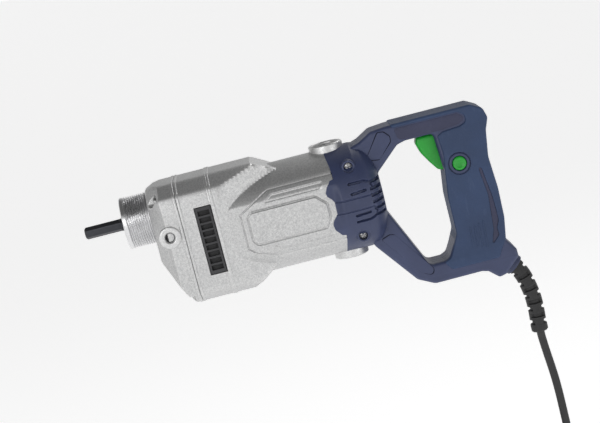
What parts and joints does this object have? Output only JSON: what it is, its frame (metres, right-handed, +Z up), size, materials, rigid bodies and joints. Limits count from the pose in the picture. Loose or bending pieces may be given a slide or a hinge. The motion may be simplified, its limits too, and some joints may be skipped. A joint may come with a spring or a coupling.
{
  "type": "concrete vibrator drive unit",
  "caption": "Hand-held electric drive unit of a concrete vibrator: cast motor body, threaded nose with a hexagonal shaft, D-shaped handle with a trigger, and a hanging mains cord.",
  "frame": {"origin": "middle of the hand grip, on the plane between the two handle halves", "axes": "+X along the motor from the nose to the handle, +Z up with the tool held level, +Y to the tool's right when seen from behind"},
  "size_m": [0.401, 0.098, 0.4257],
  "materials": {
    "cast_alloy": "die-cast, fine grained",
    "machined_steel": "machined bright",
    "dark_steel": "blackened",
    "gasket_rubber": "matt",
    "steel": "ground",
    "zinc_screw": "zinc plated",
    "core_steel": "laminated",
    "copper": "enamelled copper",
    "brass": "bright",
    "carbon": "pressed carbon",
    "black_plastic": "fine satin",
    "blue_shell": "spark-eroded satin",
    "grip_pad": "soft matt",
    "green_button": "satin",
    "seal_rubber": "matt",
    "cord_rubber": "matt"
  },
  "bodies": {
    "root": {"armature_bearing_front": "steel", "armature_bearing_rear": "steel", "bearing_bridge": "cast_alloy", "brush_cap_lower": "black_plastic", "brush_cap_upper": "black_plastic", "brush_holder_lower": "brass", "brush_holder_upper": "brass", "brush_spring_lower": "steel", "brush_spring_upper": "steel", "carbon_brush_lower": "carbon", "carbon_brush_upper": "carbon", "cord_coil": "cord_rubber", "cord_tie": "black_plastic", "field_coil_left": "copper", "field_coil_right": "copper", "gear_housing": "cast_alloy", "gearbox_gasket": "gasket_rubber", "grip_pad_left": "grip_pad", "grip_pad_right": "grip_pad", "grip_screw_1": "zinc_screw", "grip_screw_2": "zinc_screw", "grip_screw_3": "zinc_screw", "handle_shell_left": "blue_shell", "handle_shell_right": "blue_shell", "housing_screw_1": "zinc_screw", "housing_screw_2": "zinc_screw", "motor_housing": "cast_alloy", "nose_cover": "cast_alloy", "nose_screw_1": "zinc_screw", "nose_screw_2": "zinc_screw", "nose_screw_3": "zinc_screw", "nose_screw_4": "zinc_screw", "oil_seal": "seal_rubber", "plug_body": "cord_rubber", "plug_pin_1": "brass", "plug_pin_2": "brass", "power_cord": "cord_rubber", "spindle_bearing_front": "steel", "spindle_bearing_rear": "steel", "stator_core": "core_steel", "strain_relief": "cord_rubber", "suppressor_capacitor": "seal_rubber", "switch_body": "black_plastic", "threaded_nose": "machined_steel", "vent_grille_left": "black_plastic", "vent_grille_right": "black_plastic"},
    "armature": {"armature_shaft": "steel", "pinion": "steel", "cooling_fan": "black_plastic", "armature_core": "core_steel", "armature_winding_front": "copper", "armature_winding_rear": "copper", "commutator": "copper"},
    "spindle": {"output_spindle": "dark_steel", "driven_gear": "steel"},
    "trigger": {"trigger": "green_button"},
    "lock_button": {"lock_button": "green_button"}
  },
  "joints": [
    {"name": "armature_spin", "type": "hinge", "parent": "root", "child": "armature", "pos_m": [-0.18, 0, 0.021], "axis": [1, 0, 0], "continuous": true},
    {"name": "spindle_spin", "type": "hinge", "parent": "root", "child": "spindle", "pos_m": [-0.28, 0, 0.048], "axis": [1, 0, 0], "continuous": true},
    {"name": "trigger_pull", "type": "slide", "parent": "root", "child": "trigger", "axis": [1, 0, 0], "range_m": [0, 0.006], "stiffness_N_per_m": 800},
    {"name": "lock_press", "type": "slide", "parent": "root", "child": "lock_button", "axis": [0, 1, 0], "range_m": [0, 0.003], "stiffness_N_per_m": 600}
  ],
  "couplings": [
    {"joint": "spindle_spin", "follows": "armature_spin", "ratio": -0.36364}
  ]
}
